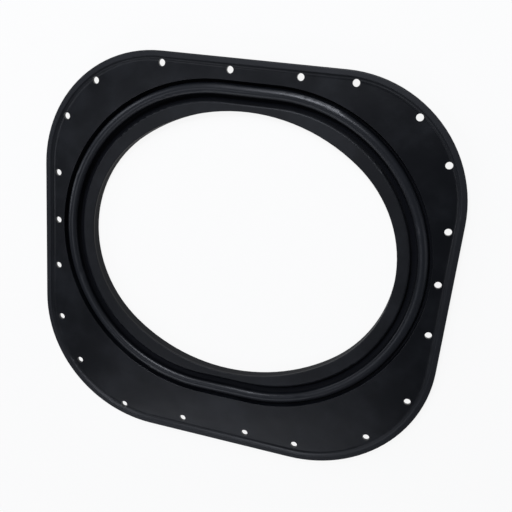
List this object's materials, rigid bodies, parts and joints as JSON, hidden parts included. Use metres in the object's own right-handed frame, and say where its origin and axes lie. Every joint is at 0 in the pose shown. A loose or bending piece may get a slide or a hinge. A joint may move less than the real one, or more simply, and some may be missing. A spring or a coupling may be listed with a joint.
{
  "type": "transom seal",
  "caption": "Moulded rubber transom seal: flat rounded flange with a raised rim and screw holes, a folded ring and a thick lip round an oval opening.",
  "frame": {"origin": "middle of the flange's outline, on the surface that the back of the lip rests on", "axes": "+Z out of the front face, +Y to the side where the flange is narrow (up when fitted), +X along the wider way"},
  "size_m": [0.429, 0.407, 0.0185],
  "materials": {
    "moulded_rubber": "matte moulded black rubber"
  },
  "bodies": {
    "root": {"seal_body": "moulded_rubber"}
  },
  "joints": []
}
